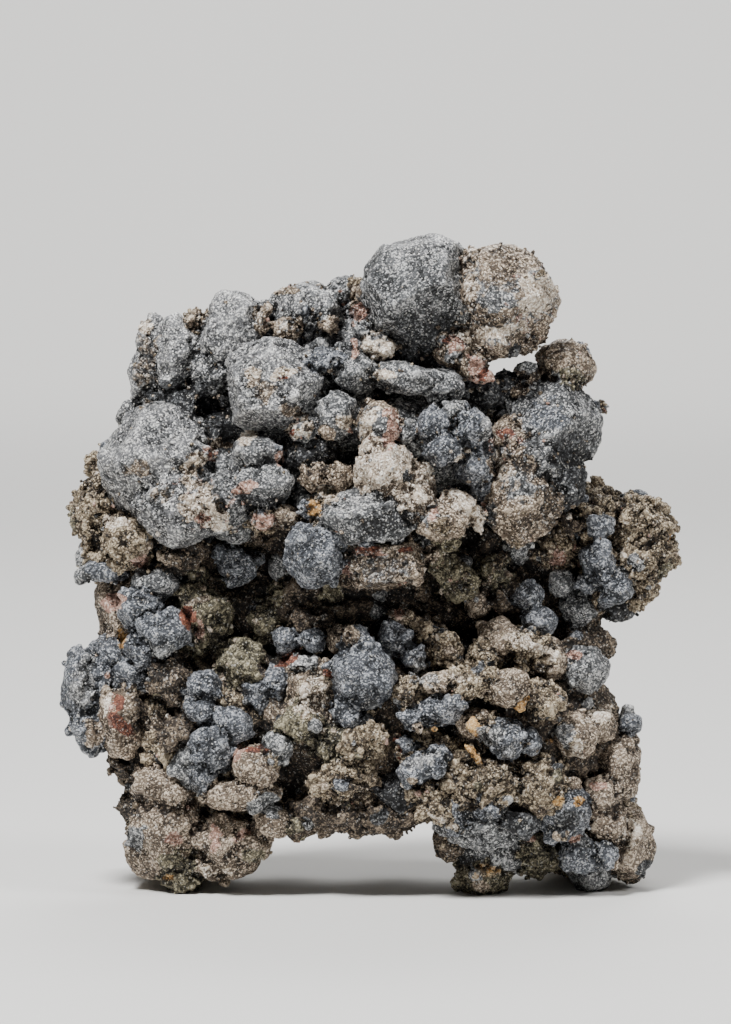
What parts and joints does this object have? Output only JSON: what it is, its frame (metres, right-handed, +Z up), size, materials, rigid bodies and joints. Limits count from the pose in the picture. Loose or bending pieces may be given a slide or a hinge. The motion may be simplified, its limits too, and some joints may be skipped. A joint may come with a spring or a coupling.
{
  "type": "acanthite specimen",
  "caption": "Cabinet mineral specimen: lumpy dark acanthite crystals heaped on granular buff rock with a ragged outline, standing on its own uneven feet.",
  "frame": {"origin": "under the middle of the specimen's box, in the plane that its feet stand on", "axes": "+Z up, -Y towards the viewer of the displayed front, +X to the viewer's right"},
  "size_m": [0.0678, 0.0345, 0.0726],
  "materials": {
    "granular_rock": "matte",
    "acanthite": "matte",
    "blue_acanthite": "matte"
  },
  "bodies": {
    "root": {"matrix": "granular_rock", "acanthite_heap": "acanthite", "acanthite_knob_left": "blue_acanthite", "acanthite_lumps_left": "blue_acanthite", "acanthite_bar_left": "blue_acanthite", "acanthite_crystal_cavity": "blue_acanthite", "acanthite_cluster_left": "blue_acanthite", "acanthite_pair_olive": "blue_acanthite", "acanthite_pair_centre": "blue_acanthite", "acanthite_kidney": "blue_acanthite", "acanthite_pair_right": "blue_acanthite", "acanthite_plate": "blue_acanthite", "acanthite_crescent": "blue_acanthite", "acanthite_ring_lump": "blue_acanthite", "acanthite_black_lump": "blue_acanthite", "acanthite_dome_low": "blue_acanthite", "acanthite_foot_right": "blue_acanthite", "acanthite_arm_lumps": "blue_acanthite", "acanthite_arm_top": "blue_acanthite", "acanthite_granular": "blue_acanthite", "acanthite_edge": "blue_acanthite", "acanthite_back_left": "blue_acanthite", "acanthite_back_right": "blue_acanthite"}
  },
  "joints": []
}
